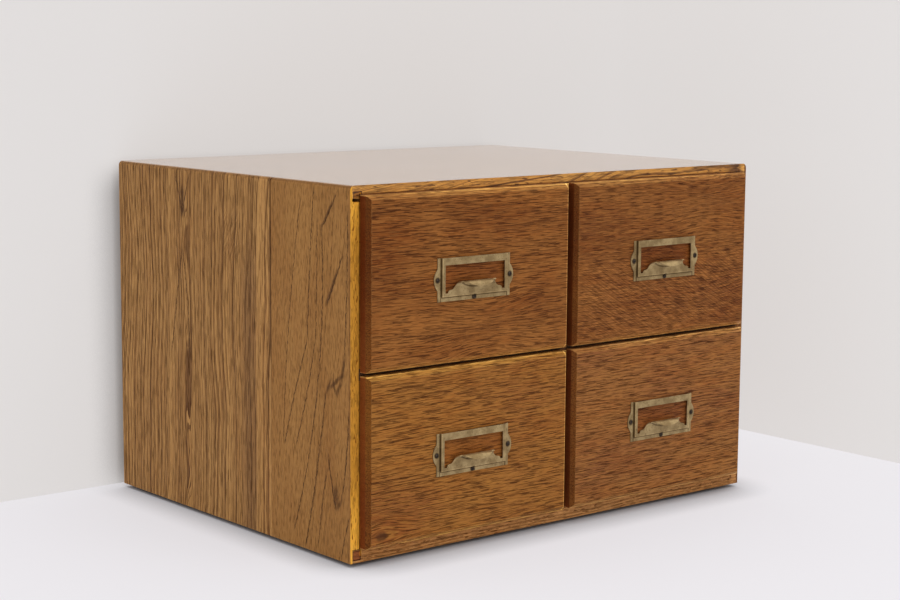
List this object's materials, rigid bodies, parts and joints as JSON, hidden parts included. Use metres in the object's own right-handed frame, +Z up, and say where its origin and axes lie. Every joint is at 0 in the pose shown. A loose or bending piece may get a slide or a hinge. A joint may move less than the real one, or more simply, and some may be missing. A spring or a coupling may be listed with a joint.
{
  "type": "desktop file cabinet",
  "caption": "Oak desktop card file: a lock-jointed case whose lipped drawers slide out on dust frames, each with a stamped label-holder pull.",
  "frame": {"origin": "middle of the object's box in plan, on the surface that the base strips stand on", "axes": "+X to the object's right as its drawers are faced, +Y to the back, +Z up"},
  "size_m": [0.527, 0.436, 0.3532],
  "materials": {
    "case_oak": "satin varnish, worn",
    "drawer_front_oak": "satin varnish, worn",
    "inner_wood": "bare, planed",
    "drawer_box_wood": "bare, planed",
    "back_panel_wood": "thin varnish",
    "base_strip_wood": "bare, dark with age",
    "pull_metal": "aged, dull",
    "screw_metal": "dark, worn",
    "brad_steel": "bare"
  },
  "bodies": {
    "case": {"back_panel": "back_panel_wood", "back_panel_brads": "brad_steel", "base_strip_brads": "brad_steel", "base_strip_front": "base_strip_wood", "base_strip_left": "base_strip_wood", "base_strip_rear": "base_strip_wood", "base_strip_right": "base_strip_wood", "bottom_board": "case_oak", "centre_divider": "inner_wood", "left_dust_frame_front_rail": "inner_wood", "left_dust_frame_inner_runner": "inner_wood", "left_dust_frame_outer_runner": "inner_wood", "left_dust_frame_rear_rail": "inner_wood", "left_side_front_board": "case_oak", "left_side_rear_board": "case_oak", "right_dust_frame_front_rail": "inner_wood", "right_dust_frame_inner_runner": "inner_wood", "right_dust_frame_outer_runner": "inner_wood", "right_dust_frame_rear_rail": "inner_wood", "right_side_front_board": "case_oak", "right_side_rear_board": "case_oak", "top_board": "case_oak"},
    "top_left_drawer": {"top_left_drawer_back": "drawer_box_wood", "top_left_drawer_bottom": "drawer_box_wood", "top_left_drawer_bottom_brads": "brad_steel", "top_left_drawer_front": "drawer_front_oak", "top_left_drawer_left_side": "drawer_box_wood", "top_left_drawer_pull": "pull_metal", "top_left_drawer_pull_screws": "screw_metal", "top_left_drawer_right_side": "drawer_box_wood"},
    "top_right_drawer": {"top_right_drawer_back": "drawer_box_wood", "top_right_drawer_bottom": "drawer_box_wood", "top_right_drawer_bottom_brads": "brad_steel", "top_right_drawer_front": "drawer_front_oak", "top_right_drawer_left_side": "drawer_box_wood", "top_right_drawer_pull": "pull_metal", "top_right_drawer_pull_screws": "screw_metal", "top_right_drawer_right_side": "drawer_box_wood"},
    "bottom_left_drawer": {"bottom_left_drawer_back": "drawer_box_wood", "bottom_left_drawer_bottom": "drawer_box_wood", "bottom_left_drawer_bottom_brads": "brad_steel", "bottom_left_drawer_front": "drawer_front_oak", "bottom_left_drawer_left_side": "drawer_box_wood", "bottom_left_drawer_pull": "pull_metal", "bottom_left_drawer_pull_screws": "screw_metal", "bottom_left_drawer_right_side": "drawer_box_wood"},
    "bottom_right_drawer": {"bottom_right_drawer_back": "drawer_box_wood", "bottom_right_drawer_bottom": "drawer_box_wood", "bottom_right_drawer_bottom_brads": "brad_steel", "bottom_right_drawer_front": "drawer_front_oak", "bottom_right_drawer_left_side": "drawer_box_wood", "bottom_right_drawer_pull": "pull_metal", "bottom_right_drawer_pull_screws": "screw_metal", "bottom_right_drawer_right_side": "drawer_box_wood"}
  },
  "joints": [
    {"name": "top_left_drawer_slide", "type": "slide", "parent": "case", "child": "top_left_drawer", "axis": [0, -1, 0], "range_m": [0, 0.3]},
    {"name": "top_right_drawer_slide", "type": "slide", "parent": "case", "child": "top_right_drawer", "axis": [0, -1, 0], "range_m": [0, 0.3]},
    {"name": "bottom_left_drawer_slide", "type": "slide", "parent": "case", "child": "bottom_left_drawer", "axis": [0, -1, 0], "range_m": [0, 0.3]},
    {"name": "bottom_right_drawer_slide", "type": "slide", "parent": "case", "child": "bottom_right_drawer", "axis": [0, -1, 0], "range_m": [0, 0.3]}
  ]
}
